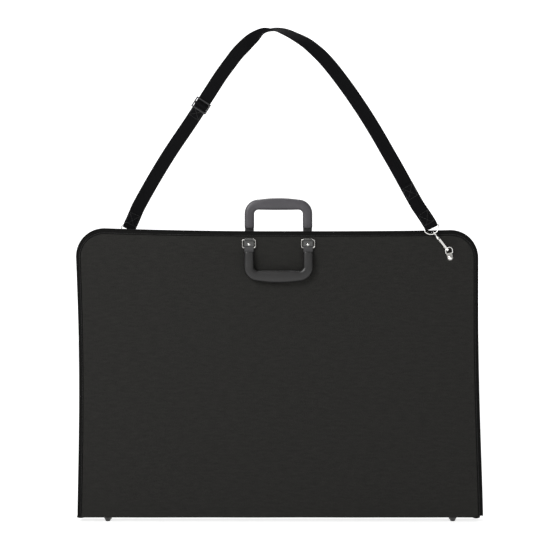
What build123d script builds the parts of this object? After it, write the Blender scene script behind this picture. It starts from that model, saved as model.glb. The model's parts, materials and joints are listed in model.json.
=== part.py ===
from build123d import *
from math import cos, radians, sin
import os

# A rigid zipped portfolio case for A1 sheets, standing on its feet.
# X runs along the width, Y from the front face (-Y) to the back face (+Y), Z up from the floor.
# The origin is on the floor under the middle of the case. All sizes are in millimetres.

# Case
case_width = 890.0
case_height = 635.0
case_depth = 44.0
corner_radius = 63.0
spine_thickness = 4.0
spine_board_thickness = 2.5
spine_skin = 1.0
hinge_gap = 0.3

# Panel layers, from the outside in
cover_thickness = 1.0
board_thickness = 2.5
lining_thickness = 0.7
layer_gap = 0.2

# Edge binding
binding_side = 10.0
binding_top = 12.0
binding_proud = 0.8
binding_wall = 2.0
binding_flange = 1.7

# Gusset and zip
gusset_margin = 0.2
gusset_thickness = 1.2
tape_thickness = 0.8
tape_width = 3.6
teeth_height = 2.4
teeth_width = 1.6
teeth_gap = 1.6
slider_length = 18.0
slider_width = 10.0
slider_plate = 1.1
slider_clearance = 0.4
slider_post_length = 4.0
slider_cheek_thickness = 1.0
slider_cheek_length = 3.2
slider_rest = 35.0
puller_length = 30.0
puller_width = 7.0
puller_thickness = 1.1
puller_pin_radius = 0.8
puller_pin_lift = 0.75
puller_neck_length = 6.0

# Feet
foot_height = 9.0
foot_bottom_radius = 4.5
foot_end_inset = 64.0
foot_margin = 0.65
foot_gap = 5.3
screw_radius = 1.5
screw_head_radius = 2.4
screw_head_height = 1.4
screw_recess = 1.0
screw_clearance = 0.1

# Handle rings and the chapes that hold them
handle_wire = 3.0
handle_ring_width = 28.5
handle_ring_height = 17.7
handle_ring_corner = 3.5
chape_width = 21.0
ring_end_play = 0.75
chape_thickness = 1.4
chape_wall = 1.2
chape_length = 16.5
ring_bar_drop = 22.5
running_gap = 0.06
chape_rivet_radius = 3.0
chape_rivet_dome = 1.1
chape_rivet_height = 5.5

# Handles
handle_width = 151.8
handle_leg = 21.8
handle_length = 76.8
handle_grip = 27.0
handle_depth = 15.5
handle_outer_radius = 28.0
handle_inner_radius = 12.0
handle_round = 5.5
tongue_length = 9.5
core_width = 11.0
short_edge = 2.0
edge_tolerance = 0.1
knuckle_wall = 1.2

# Strap anchor: a riveted chape with a small D-ring, turned towards the strap
anchor_side_inset = 67.0
anchor_top_inset = 62.0
anchor_turn = 12.0
anchor_width = 12.0
anchor_end_play = 0.5
anchor_tail = 6.0
anchor_tail_corner = 5.6
anchor_bar_height = 9.5
anchor_rivet_radius = 5.0
anchor_rivet_dome = 2.6
anchor_wire = 2.0
anchor_ring_width = 15.0
anchor_ring_side = 8.0
anchor_ring_corner = 2.5
anchor_ring_tilt = 30.0

# Snap hook, measured along its own length from the middle of its bowl
hook_lean = 38.1
hook_thickness = 4.6
hook_bowl_radius = 3.4
hook_wire = 3.2
hook_nose = 7.0
hook_shoulder = 19.0
hook_collar_start = 28.6
hook_collar_taper = 3.0
hook_collar_end = 33.0
hook_collar_radius = 3.0
swivel_stem_radius = 1.5
swivel_head_radius = 2.0
swivel_head_height = 1.6
eye_distance = 41.0
eye_radius = 4.6
eye_wire = 2.6
gate_pivot = 20.5
gate_thickness = 2.4
gate_width = 2.4
gate_pin_radius = 0.8
gate_boss_wall = 1.0

# Strap and its D-rings
strap_width = 30.0
strap_thickness = 1.8
strap_link = 42.3
strap_end_lean = 26.4
dring_play = 2.2
dring_depth = 15.5
dring_wire = 2.4
dring_corner = 2.2
strap_layer_gap = 0.5
loop_inset = 1.2
loop_gap = 2.0
right_seam = 0.4
strap_rise = 435.4
strap_lead = 12.0
adjuster_play = 0.9
adjuster_length = 25.0
adjuster_thickness = 2.2
adjuster_bar = 4.0
adjuster_side = 2.6
adjuster_station = 14
adjuster_fraction = 0.62

# Inside
band_width = 25.0
band_thickness = 1.2
band_x = 200.0
band_end_inset = 45.35
pocket_side_inset = 165.0
pocket_height = 320.0
pocket_thickness = 0.8

# Places worked out from the sizes above
case_top = foot_height + case_height
spine_top = foot_height + spine_thickness
panel_bottom = spine_top + hinge_gap
face_y = -case_depth / 2
board_outer_y = face_y + cover_thickness
board_inner_y = board_outer_y + board_thickness
lining_inner_y = board_inner_y + lining_thickness
binding_outer_y = face_y - binding_proud
binding_inner_y = board_inner_y + binding_flange
gusset_inset = binding_side - gusset_thickness - gusset_margin
teeth_inner_y = -teeth_gap / 2
teeth_outer_y = teeth_inner_y - teeth_width
tape_outer_y = teeth_outer_y - tape_width
ring_bar_z = case_top - ring_bar_drop
ring_roll_radius = handle_wire / 2 + running_gap + chape_wall
ring_y = face_y - chape_thickness - ring_roll_radius + layer_gap / 2
handle_bar_z = ring_bar_z - handle_ring_height
handle_leg_x = handle_width / 2 - handle_leg / 2
knuckle_width = handle_ring_width - 2 * handle_ring_corner - 2 * ring_end_play
foot_top_radius = (case_depth / 2 - foot_margin - foot_gap / 2) / 2
foot_x = case_width / 2 - foot_end_inset
foot_y = foot_gap / 2 + foot_top_radius
anchor_x = case_width / 2 - anchor_side_inset
anchor_z = case_top - anchor_top_inset
anchor_roll_width = anchor_ring_width - 2 * anchor_ring_corner - 2 * anchor_end_play
anchor_roll_radius = anchor_wire / 2 + running_gap + chape_wall
anchor_bar_out = anchor_roll_radius + layer_gap
dring_half_width = strap_width / 2 + dring_play
adjuster_width = strap_width + 2 * (adjuster_side + adjuster_play)
pocket_width = case_width - 2 * pocket_side_inset


def turned_half(shape):
    """The same piece at the back of the case, half a turn about the vertical middle line."""
    return shape.rotate(Axis.Z, 180)


def outline(side, top):
    """Panel outline, moved in by side at the left and right and by top at the top."""
    half = case_width / 2 - side
    crown = case_top - top
    radius = corner_radius - (side + top) / 2
    shoulder = half - radius
    spring = crown - radius
    reach = radius * cos(radians(45))
    edges = [
        Line((-half, 0, panel_bottom), (-half, 0, spring)),
        ThreePointArc(
            (-half, 0, spring),
            (-shoulder - reach, 0, spring + reach),
            (-shoulder, 0, crown),
        ),
        Line((-shoulder, 0, crown), (shoulder, 0, crown)),
        ThreePointArc(
            (shoulder, 0, crown),
            (shoulder + reach, 0, spring + reach),
            (half, 0, spring),
        ),
        Line((half, 0, spring), (half, 0, panel_bottom)),
        Line((half, 0, panel_bottom), (-half, 0, panel_bottom)),
    ]
    return make_face(edges)


def slab(face, inner_y, outer_y):
    """The outline face as a solid between two depths, inner_y being nearer the middle."""
    return extrude(Pos(0, inner_y, 0) * face, amount=inner_y - outer_y, dir=(0, -1, 0))


def block(x_range, y_range, z_range):
    """A box given by its limits along each axis."""
    sizes = [high - low for low, high in (x_range, y_range, z_range)]
    middle = [(high + low) / 2 for low, high in (x_range, y_range, z_range)]
    return Pos(*middle) * Box(*sizes)


def rod(start, end, radius):
    """A round bar from one point to another."""
    axis = Vector(*end) - Vector(*start)
    plane = Plane(origin=start, z_dir=axis)
    return extrude(plane * Circle(radius), amount=axis.length)


def wire_ring(face, wire):
    """A round wire bent along the outline of a face."""
    path = face.outer_wire()
    start = path.position_at(0)
    section = Plane(origin=start, z_dir=path.tangent_at(0)) * Circle(wire / 2)
    return sweep(section, path=path)


def dome(radius, height):
    """A spherical cap standing on the plane z = 0."""
    ball = (radius**2 + height**2) / (2 * height)
    cap = Pos(0, 0, height - ball) * Sphere(ball)
    return cap & Pos(0, 0, height / 2) * Box(3 * radius, 3 * radius, height)


def panel_layers():
    """Cover, board, lining and binding of the front panel."""
    board_face = outline(binding_wall, binding_wall)
    inner_face = outline(binding_side + layer_gap, binding_top + layer_gap)
    board = slab(board_face, board_inner_y, board_outer_y)
    cover = slab(inner_face, board_outer_y, face_y)
    lining = slab(inner_face, lining_inner_y, board_inner_y)
    band = outline(0, 0) - outline(binding_side, binding_top)
    binding = slab(band, binding_inner_y, binding_outer_y) - board
    return {"board": board, "cover": cover, "lining": lining, "binding": binding}


def ring_section(inset, thickness):
    """A band of the given thickness that follows the panel outline."""
    return outline(inset, inset) - outline(inset + thickness, inset + thickness)


def gusset_layers():
    """The front half of the gusset, its zip tape and its row of teeth."""
    middle = gusset_inset + gusset_thickness / 2
    tape_face = ring_section(middle - tape_thickness / 2, tape_thickness)
    teeth_face = ring_section(middle - teeth_height / 2, teeth_height)
    return {
        "gusset": slab(ring_section(gusset_inset, gusset_thickness), tape_outer_y, binding_inner_y),
        "zip_tape": slab(tape_face, teeth_outer_y, tape_outer_y),
        "zip_teeth": slab(teeth_face, teeth_inner_y, teeth_outer_y),
    }


def handle_chapes():
    """The two folded plates that hold the handle rings, and the rivets through them."""
    plates = []
    rivets = []
    for side in (-1, 1):
        x = side * handle_leg_x
        plate = block(
            (x - chape_width / 2, x + chape_width / 2),
            (face_y - chape_thickness, face_y),
            (ring_bar_z - chape_length, ring_bar_z),
        )
        half = knuckle_width / 2
        roll = rod((x - half, ring_y, ring_bar_z), (x + half, ring_y, ring_bar_z), ring_roll_radius)
        bore_radius = handle_wire / 2 + running_gap
        bore = rod((x - half, ring_y, ring_bar_z), (x + half, ring_y, ring_bar_z), bore_radius)
        plates.append(plate + roll - bore)
        head = Plane(
            origin=(x, face_y - chape_thickness, ring_bar_z - chape_length + chape_rivet_height),
            z_dir=(0, -1, 0),
        )
        rivets.append(head.location * dome(chape_rivet_radius, chape_rivet_dome))
    return {"handle_chapes": Compound(children=plates), "handle_rivets": Compound(children=rivets)}


def handle_rings():
    """The left and right wire rings, hanging from their chapes."""
    rings = {}
    for name, side in (("left", -1), ("right", 1)):
        middle = ring_bar_z - handle_ring_height / 2
        plane = Plane(origin=(side * handle_leg_x, ring_y, middle), z_dir=(0, -1, 0), x_dir=(1, 0, 0))
        face = plane * RectangleRounded(handle_ring_width, handle_ring_height, handle_ring_corner)
        rings[name] = wire_ring(face.face(), handle_wire)
    return rings


def handle_outline(width, top_z, bottom_z, radius):
    """A rounded U shape seen from the front, open side up."""
    plane = Plane(origin=(0, 0, 0), z_dir=(0, -1, 0), x_dir=(1, 0, 0))
    height = top_z - bottom_z
    shape = Pos(0, (top_z + bottom_z) / 2) * Rectangle(width, height)
    low = shape.vertices().group_by(Axis.Y)[0]
    return plane * fillet(low, radius)


def handle_pieces():
    """Core with its two knuckled tongues, and the moulded grip cover over it, hanging."""
    bottom = handle_bar_z - handle_length
    leg_top = handle_bar_z - tongue_length
    back_y = ring_y + handle_wire / 2 + running_gap + knuckle_wall
    front_y = back_y - handle_depth
    outer = handle_outline(handle_width, leg_top, bottom, handle_outer_radius)
    gap_width = handle_width - 2 * handle_leg
    inner = handle_outline(gap_width, leg_top, bottom + handle_grip, handle_inner_radius)
    cover = slab(outer - inner, back_y, front_y)
    long_edges = [e for e in cover.edges() if e.length > short_edge]
    long_edges = [e for e in long_edges if abs(e.tangent_at(0.5).Y) < edge_tolerance]
    long_edges = [e for e in long_edges if e.center().Z < leg_top - edge_tolerance]
    cover = fillet(long_edges, handle_round)

    knuckle = handle_wire / 2 + running_gap + knuckle_wall
    core_side = (handle_leg - core_width) / 2
    core_gap = gap_width + 2 * core_side
    core_low = bottom + (handle_grip - core_width) / 2
    core_radius = handle_outer_radius - core_side
    core_outer = handle_outline(core_gap + 2 * core_width, leg_top, core_low, core_radius)
    core_inner = handle_outline(core_gap, leg_top, core_low + core_width, handle_inner_radius)
    core = slab(core_outer - core_inner, ring_y + knuckle, ring_y - knuckle)
    core_y = (ring_y - knuckle, ring_y + knuckle)
    for side in (-1, 1):
        x = side * handle_leg_x
        half = knuckle_width / 2
        reach = (leg_top - tongue_length, handle_bar_z)
        core += block((x - half, x + half), core_y, reach)
        core += rod((x - half, ring_y, handle_bar_z), (x + half, ring_y, handle_bar_z), knuckle)
        bore = handle_wire / 2 + running_gap
        core -= rod((x - half, ring_y, handle_bar_z), (x + half, ring_y, handle_bar_z), bore)
    core_inset = layer_gap / 2
    core = core & block(
        (-handle_width, handle_width),
        (ring_y - knuckle, back_y - core_inset),
        (bottom, case_top),
    )
    return {"handle_core": core, "handle_cover": cover - core}


def anchor_frame():
    """Frame of the strap anchor: x across it, y up its length, z out of the panel."""
    turn = radians(anchor_turn)
    return Plane(
        origin=(anchor_x, face_y, anchor_z),
        x_dir=(cos(turn), 0, sin(turn)),
        z_dir=(0, -1, 0),
    )


def anchor_ring_frame():
    """Frame of the anchor's D-ring: x along its bar, y towards the top of its arc."""
    tilt = radians(anchor_ring_tilt)
    local = Plane(
        origin=(0, anchor_bar_height, anchor_bar_out),
        x_dir=(1, 0, 0),
        z_dir=(0, -sin(tilt), cos(tilt)),
    )
    return Plane(anchor_frame().location * local.location)


def anchor_pieces():
    """Anchor chape with its roll, the domed rivet and the small D-ring."""
    plate = block(
        (-anchor_width / 2, anchor_width / 2),
        (-anchor_tail, anchor_bar_height),
        (0, chape_thickness),
    )
    plate = fillet(plate.edges().filter_by(Axis.Z).group_by(Axis.Y)[0], anchor_tail_corner)
    half = anchor_roll_width / 2
    ends = ((-half, anchor_bar_height, anchor_bar_out), (half, anchor_bar_height, anchor_bar_out))
    roll = rod(*ends, anchor_roll_radius)
    bore = rod(*ends, anchor_wire / 2 + running_gap)
    chape = anchor_frame().location * (plate + roll - bore)
    rivet = Pos(0, 0, chape_thickness) * dome(anchor_rivet_radius, anchor_rivet_dome)
    half_ring = anchor_ring_width / 2
    sides = Pos(0, anchor_ring_side / 2) * Rectangle(anchor_ring_width, anchor_ring_side)
    sides = fillet(sides.vertices().group_by(Axis.Y)[0], anchor_ring_corner)
    shape = sides + Pos(0, anchor_ring_side) * Circle(half_ring)
    ring = wire_ring(shape.face(), anchor_wire)
    return {
        "anchor_chape": chape,
        "anchor_rivet": anchor_frame().location * rivet,
        "anchor_ring": anchor_ring_frame().location * ring,
    }


def hook_frame():
    """Frame of the snap hook: x along its length, y out of the panel, z across its thickness."""
    arc = anchor_ring_width / 2 * cos(radians(45))
    bowl = anchor_ring_frame().location * Pos(-arc, anchor_ring_side + arc, 0)
    lean = radians(hook_lean)
    return Plane(
        origin=bowl.position,
        x_dir=(-sin(lean), 0, cos(lean)),
        z_dir=(cos(lean), 0, sin(lean)),
    )


def across(face, half_thickness):
    """A flat face of the hook, thickened evenly to both sides."""
    return extrude(face, amount=half_thickness, both=True)


def hook_pieces():
    """Snap hook body, spring gate, gate pin and the swivel eye that turns in the collar."""
    outer = hook_bowl_radius + hook_wire
    half = hook_thickness / 2
    bowl = Circle(outer) & Pos(-outer / 2, 0) * Rectangle(outer, 2 * outer)
    nose = Pos(hook_nose / 2, -hook_bowl_radius - hook_wire / 2) * Rectangle(hook_nose, hook_wire)
    shank_length = hook_collar_start - hook_collar_taper
    shank = Pos(shank_length / 2, hook_bowl_radius + hook_wire / 2) * Rectangle(shank_length, hook_wire)
    shoulder = make_face(
        Polyline(
            (hook_shoulder, -outer),
            (hook_shoulder, -hook_bowl_radius + gate_width),
            (hook_shoulder + hook_wire, hook_bowl_radius),
            (hook_shoulder, hook_bowl_radius),
            (hook_shoulder, outer),
            (shank_length, outer),
            (hook_collar_start, hook_collar_radius),
            (hook_collar_start, -hook_collar_radius),
            (shank_length, -outer),
            close=True,
        )
    )
    profile = bowl - Circle(hook_bowl_radius) + nose + shank + shoulder
    body = across(profile, half)
    body += rod((hook_collar_start, 0, 0), (hook_collar_end, 0, 0), hook_collar_radius)
    head_start = hook_collar_start - swivel_head_height - 2 * layer_gap
    body -= rod((head_start, 0, 0), (hook_collar_end, 0, 0), swivel_stem_radius + running_gap)
    window = block(
        (head_start, hook_collar_start),
        (-swivel_head_radius - layer_gap, swivel_head_radius + layer_gap),
        (-half, half),
    )
    body -= window

    gate_y = -hook_bowl_radius - hook_wire / 2
    slot_half = gate_thickness / 2 + layer_gap
    slot = block(
        (hook_shoulder, gate_pivot + gate_width + layer_gap),
        (-outer, hook_bowl_radius - hook_wire / 2),
        (-slot_half, slot_half),
    )
    body -= slot
    pin_hole = rod((gate_pivot, gate_y, -half), (gate_pivot, gate_y, half), gate_pin_radius)
    body -= pin_hole
    gate_length = gate_pivot - hook_nose - layer_gap
    lever = Pos(gate_pivot - gate_length / 2, gate_y) * Rectangle(gate_length, gate_width)
    boss = Pos(gate_pivot, gate_y) * Circle(gate_pin_radius + gate_boss_wall)
    gate_hole = Pos(gate_pivot, gate_y) * Circle(gate_pin_radius + running_gap)
    gate = across(lever + boss - gate_hole, gate_thickness / 2)

    eye_face = Pos(eye_distance, 0) * Circle(eye_radius)
    eye = wire_ring(eye_face.face(), eye_wire)
    stem_end = eye_distance - eye_radius
    stem = rod((hook_collar_start - layer_gap, 0, 0), (stem_end, 0, 0), swivel_stem_radius)
    head_low = hook_collar_start - layer_gap - swivel_head_height
    head = rod((head_low, 0, 0), (hook_collar_start - layer_gap, 0, 0), swivel_head_radius)
    pieces = {"hook": body, "hook_gate": gate, "hook_pin": pin_hole, "hook_swivel": eye + stem + head}
    return {name: hook_frame().location * shape for name, shape in pieces.items()}


def strap_frame():
    """Frame of the strap's right end: x along the D-ring's bar, y up the strap, z to the front."""
    link = hook_frame().location * Pos(strap_link, 0, 0)
    lean = radians(strap_end_lean)
    up = Vector(-sin(lean), 0, cos(lean))
    return Plane(
        origin=link.position + up * dring_depth,
        x_dir=(cos(lean), 0, sin(lean)),
        z_dir=(0, -1, 0),
    )


def dring():
    """The strap's D-ring, its bar on the frame's x axis and its arc below."""
    half = dring_half_width
    arc = ThreePointArc((-half, 0), (0, -dring_depth), (half, 0))
    shape = make_face([arc, Line((half, 0), (-half, 0))])
    shape = fillet(shape.vertices(), dring_corner)
    return strap_frame().location * wire_ring(shape.face(), dring_wire)


def strap_stations():
    """Middle line of the strap from the right end to the left, each point with its twist.

    It leaves each D-ring square to its bar, climbs in a straight run and turns over once at the top.
    Each row of the arch holds the place across (1 at the right end, -1 at the left), the place through the
    depth on the same scale, the climb (0 at the ends, 1 at the top) and the twist in degrees.
    """
    frame = strap_frame()
    end = frame.origin
    lead = end + frame.y_dir * strap_lead
    rows = [
        (0.906, 0.916, 0.118, 0),
        (0.731, 0.707, 0.3615, 0),
        (0.546, 0.482, 0.6049, 0),
        (0.434, 0.354, 0.7289, 0),
        (0.314, 0.257, 0.8484, 6),
        (0.22, 0.177, 0.917, 20),
        (0.115, 0.096, 0.969, 40),
        (0.0149, 0.016, 0.998, 56),
        (-0.0775, 0, 1, 90),
        (-0.152, -0.064, 0.973, 134),
        (-0.2444, -0.161, 0.915, 170),
        (-0.316, -0.257, 0.8484, 180),
        (-0.4263, -0.354, 0.7289, 180),
        (-0.566, -0.514, 0.5635, 180),
        (-0.744, -0.707, 0.3615, 180),
        (-0.93, -0.916, 0.118, 180),
    ]
    arch = [(x * end.X, y * end.Y, end.Z + climb * strap_rise, twist) for x, y, climb, twist in rows]
    right = [(end.X, end.Y, end.Z, 0), (lead.X, lead.Y, lead.Z, 0)]
    left = [(-lead.X, -lead.Y, lead.Z, 180), (-end.X, -end.Y, end.Z, 180)]
    return right + arch + left


def strap_section(index, fraction=0.0):
    """Plane across the strap at a station, or part of the way to the next one.

    Its x axis runs across the width, its y axis through the thickness, its z axis along the strap.
    """
    stations = strap_stations()
    here = Vector(*stations[index][:3])
    step = min(index + 1, len(stations) - 1)
    ahead = Vector(*stations[step][:3])
    behind = here if fraction else Vector(*stations[max(index - 1, 0)][:3])
    tangent = (ahead - behind).normalized()
    twist = stations[index][3] + fraction * (stations[step][3] - stations[index][3])
    front = Vector(0, -1, 0)
    front = (front - tangent * front.dot(tangent)).normalized()
    x_dir = front.cross(tangent) * cos(radians(twist)) + front * sin(radians(twist))
    return Plane(origin=here + (ahead - here) * fraction, x_dir=x_dir, z_dir=tangent)


def moved_along(plane, distance):
    """The same section, moved along the strap."""
    return Plane(origin=plane.origin + plane.z_dir * distance, x_dir=plane.x_dir, z_dir=plane.z_dir)


def ribbon(sections, offset=0.0):
    """Webbing through a list of sections, moved by offset through its thickness."""
    faces = [plane * (Pos(0, offset) * Rectangle(strap_width, strap_thickness)) for plane in sections]
    spans = [loft([first, second], ruled=True) for first, second in zip(faces, faces[1:])]
    return spans[0].fuse(*spans[1:]).clean()


def end_loop():
    """The fold of webbing round the bar of the right D-ring, and the bore that it leaves."""
    frame = strap_frame()
    half = strap_width / 2 - loop_inset
    start = tuple(frame.origin - frame.x_dir * half)
    end = tuple(frame.origin + frame.x_dir * half)
    bore = dring_wire / 2 + running_gap
    return rod(start, end, bore + strap_thickness), rod(start, end, bore)


def strap_pieces():
    """Main webbing, the two looped ends and the slide adjuster, every layer clear of the next."""
    count = len(strap_stations())
    planes = [strap_section(i) for i in range(count)]
    start = dring_wire / 2 + running_gap + strap_thickness + loop_gap
    main = [moved_along(planes[0], start)] + planes[1:-1] + [moved_along(planes[-1], -start)]

    layer = strap_thickness + strap_layer_gap
    fold, bore = end_loop()
    right_tail = ribbon(planes[:3] + [strap_section(2, right_seam)], layer)
    right_end = right_tail + fold - bore

    adjuster = strap_section(adjuster_station, adjuster_fraction)
    bar_half = adjuster_bar / 2
    tail_end = moved_along(adjuster, -bar_half - layer_gap - strap_thickness)
    left_tail = ribbon([tail_end] + planes[adjuster_station + 1 :], -layer)
    left_end = left_tail + turned_half(fold) - turned_half(bore)
    frame_low = layer + strap_thickness / 2 + 2 * layer_gap
    frame_high = frame_low + adjuster_thickness
    slot = (adjuster_length - adjuster_bar) / 2 - adjuster_side
    half_width = adjuster_width / 2
    frame = block(
        (-half_width, half_width),
        (-frame_high, -frame_low),
        (-adjuster_length / 2, adjuster_length / 2),
    )
    for side in (-1, 1):
        middle = side * (bar_half + slot / 2)
        frame -= block(
            (-half_width + adjuster_side, half_width - adjuster_side),
            (-frame_high, -frame_low),
            (middle - slot / 2, middle + slot / 2),
        )
    wrap = bar_half + layer_gap
    wrapping = block(
        (-strap_width / 2, strap_width / 2),
        (-frame_high - layer_gap - strap_thickness, -layer + strap_thickness / 2),
        (-wrap - strap_thickness, wrap + strap_thickness),
    )
    wrapping -= block(
        (-strap_width / 2, strap_width / 2),
        (-frame_high - layer_gap, -frame_low + layer_gap),
        (-wrap, wrap),
    )
    return {
        "strap_webbing": ribbon(main),
        "strap_end_right": right_end,
        "strap_end_left": left_end + adjuster.location * wrapping,
        "strap_adjuster": adjuster.location * frame,
    }


def zip_pieces():
    """The left zip slider and its puller, at rest near the middle of the top edge."""
    level = case_top - gusset_inset - gusset_thickness / 2
    x = -slider_rest
    half = slider_length / 2
    low = level - teeth_height / 2 - slider_clearance
    high = level + teeth_height / 2 + slider_clearance
    y_range = (-slider_width / 2, slider_width / 2)
    x_range = (x - half, x + half)
    post_y = teeth_gap / 2 - layer_gap
    slider = block(x_range, y_range, (high, high + slider_plate))
    slider += block(x_range, y_range, (low - slider_plate, low))
    slider += block((x - half, x - half + slider_post_length), (-post_y, post_y), (low, high))
    pin_z = high + slider_plate + puller_pin_radius + puller_pin_lift
    cheek_outer = puller_width / 2
    cheek_inner = cheek_outer - slider_cheek_thickness
    cheek_x = (x - slider_cheek_length / 2, x + slider_cheek_length / 2)
    for side in (-1, 1):
        cheek_y = sorted((side * cheek_inner, side * cheek_outer))
        slider += block(cheek_x, cheek_y, (high, pin_z + puller_pin_radius))
    slider += rod((x, -cheek_inner, pin_z), (x, cheek_inner, pin_z), puller_pin_radius)
    knuckle = puller_pin_radius + running_gap + puller_thickness / 2
    width = cheek_inner - layer_gap
    puller = rod((x, -width, pin_z), (x, width, pin_z), knuckle)
    plate_z = (pin_z - puller_thickness / 2, pin_z + puller_thickness / 2)
    neck_end = x - puller_neck_length
    puller += block((neck_end, x), (-width, width), plate_z)
    puller += block((x - puller_length, neck_end), (-puller_width / 2, puller_width / 2), plate_z)
    puller -= rod((x, -width, pin_z), (x, width, pin_z), puller_pin_radius + running_gap)
    return {"zip_slider": slider, "zip_puller": puller}


def spine_pieces():
    """Spine board in its fabric sleeve, four feet and their screws."""
    half_x = case_width / 2 - spine_skin
    half_y = case_depth / 2 - layer_gap
    board_low = foot_height + (spine_thickness - spine_board_thickness) / 2
    board_z = (board_low, board_low + spine_board_thickness)
    board_x = half_x - spine_skin
    board_y = half_y - spine_skin
    board = block((-board_x, board_x), (-board_y, board_y), board_z)
    sleeve = block((-half_x, half_x), (-half_y, half_y), (foot_height, spine_top)) - board
    feet = {}
    screws = []
    for depth_name, y in (("front", -foot_y), ("back", foot_y)):
        for side_name, x in (("left", -foot_x), ("right", foot_x)):
            cone = Pos(x, y, foot_height / 2) * Cone(foot_bottom_radius, foot_top_radius, foot_height)
            shaft_top = board_z[1] - layer_gap
            head_low = screw_recess
            head_top = head_low + screw_head_height
            hole = rod((x, y, 0), (x, y, shaft_top), screw_radius + screw_clearance)
            recess = rod((x, y, 0), (x, y, head_top), screw_head_radius + screw_clearance)
            feet[f"foot_{depth_name}_{side_name}"] = cone - hole - recess
            board -= hole
            sleeve -= hole
            shaft = rod((x, y, head_top), (x, y, shaft_top), screw_radius)
            head = rod((x, y, head_low), (x, y, head_top), screw_head_radius)
            screws.append(shaft + head)
    return {"spine_board": board, "spine_cover": sleeve, **feet, "foot_screws": Compound(children=screws)}


def inside_pieces():
    """Elastic holding bands on the front lining and a document pocket on the back lining."""
    band_z = (panel_bottom + band_end_inset, case_top - band_end_inset)
    band_y = (lining_inner_y, lining_inner_y + band_thickness)
    bands = []
    for side in (-1, 1):
        x = side * band_x
        bands.append(block((x - band_width / 2, x + band_width / 2), band_y, band_z))
    pocket = block(
        (-pocket_width / 2, pocket_width / 2),
        (-lining_inner_y - pocket_thickness, -lining_inner_y),
        (panel_bottom + binding_side, panel_bottom + binding_side + pocket_height),
    )
    return {"front_elastic_bands": Compound(children=bands), "back_document_pocket": pocket}


def build():
    """Every piece of the case, by name."""
    parts = {}
    parts.update(spine_pieces())
    for group in (panel_layers(), gusset_layers(), handle_chapes(), anchor_pieces(), hook_pieces()):
        for name, shape in group.items():
            parts[f"front_{name}"] = shape
            parts[f"back_{name}"] = turned_half(shape)
    parts.update(inside_pieces())
    raised = Axis((0, ring_y, ring_bar_z), (1, 0, 0))
    for name, shape in handle_rings().items():
        parts[f"front_handle_ring_{name}"] = shape
        parts[f"back_handle_ring_{name}"] = turned_half(shape.rotate(raised, 180))
    for name, shape in handle_pieces().items():
        parts[f"front_{name}"] = shape
        parts[f"back_{name}"] = turned_half(shape.rotate(raised, 180))
    parts["strap_dring_right"] = dring()
    parts["strap_dring_left"] = turned_half(dring())
    parts.update(strap_pieces())
    for name, shape in zip_pieces().items():
        parts[f"{name}_left"] = shape
        parts[f"{name}_right"] = turned_half(shape)
    return parts


os.makedirs("parts", exist_ok=True)
for name, shape in build().items():
    export_step(shape, f"parts/{name}.step")
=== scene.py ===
import bpy
import json
from math import ceil, cos, exp, pi, radians, sin
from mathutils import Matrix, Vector, noise


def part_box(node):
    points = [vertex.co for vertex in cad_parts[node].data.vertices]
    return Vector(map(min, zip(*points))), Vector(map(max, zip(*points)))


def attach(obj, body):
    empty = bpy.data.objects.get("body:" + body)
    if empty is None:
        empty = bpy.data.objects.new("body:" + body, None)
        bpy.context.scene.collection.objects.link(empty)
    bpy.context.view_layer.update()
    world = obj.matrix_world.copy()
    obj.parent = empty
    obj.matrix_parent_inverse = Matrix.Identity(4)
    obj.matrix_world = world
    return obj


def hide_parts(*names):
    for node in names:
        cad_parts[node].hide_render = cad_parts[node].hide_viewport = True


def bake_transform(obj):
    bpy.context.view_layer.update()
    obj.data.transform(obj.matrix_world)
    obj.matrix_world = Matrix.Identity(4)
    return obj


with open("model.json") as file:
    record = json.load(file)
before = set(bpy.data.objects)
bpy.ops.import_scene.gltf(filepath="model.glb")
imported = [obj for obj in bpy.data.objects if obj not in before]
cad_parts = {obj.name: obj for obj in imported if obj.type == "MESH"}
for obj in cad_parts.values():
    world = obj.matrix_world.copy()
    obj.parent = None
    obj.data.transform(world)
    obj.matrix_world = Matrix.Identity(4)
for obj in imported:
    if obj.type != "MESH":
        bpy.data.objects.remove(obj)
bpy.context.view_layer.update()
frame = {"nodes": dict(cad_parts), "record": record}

MM = 0.001
SIDES = ("front", "back")

# ---- places read from the frame -------------------------------------------------------------
rim_low, rim_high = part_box("front_binding")
cover_low, cover_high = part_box("front_cover")
gusset_low, gusset_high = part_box("front_gusset")
tape_low, tape_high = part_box("front_zip_tape")
teeth_low, teeth_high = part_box("front_zip_teeth")
board_low, board_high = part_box("front_board")
lining_low, lining_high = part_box("front_lining")
spine_low, spine_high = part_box("spine_cover")
grip_low, grip_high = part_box("front_handle_cover")
HALF_WIDTH = rim_high[0]
CROWN = rim_high[2]
PANEL_FOOT = rim_low[2]
CORNER = 63 * MM
ZIP_HALF = abs(tape_low[1])
LEAN = 8 * MM
FOOT_SHIFT = 4 * MM


# ---- camera and light -----------------------------------------------------------------------
VIEW_DISTANCE = 2.9
VIEW_WIDTH = 1.2205
VIEW_HEIGHT = 0.5393
VIEW_SIDESTEP = -3.3 * MM
SURROUNDINGS = 0.32
FLOOR_GLOW = 0.76
WALL_GLOW = 1.0
SHEET_GREY = 0.5
SHEET_REACH = 16
WALL_BEHIND = 8
LIGHTS = (
    # name, place, what it looks at, side of its square, power
    ("key", (-1.25, -1.7, 1.8), (-0.2, 0, 0.65), 1.2, 42),
    ("fill", (1.6, -3.0, 1.3), (0.3, 0, 0.6), 1.0, 5),
    ("front", (0.1, -3.5, 0.55), (0.1, 0, 0.55), 1.3, 4),
    ("top", (-0.2, 0.5, 2.9), (0, 0, 0.7), 1.0, 30),
)


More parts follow.
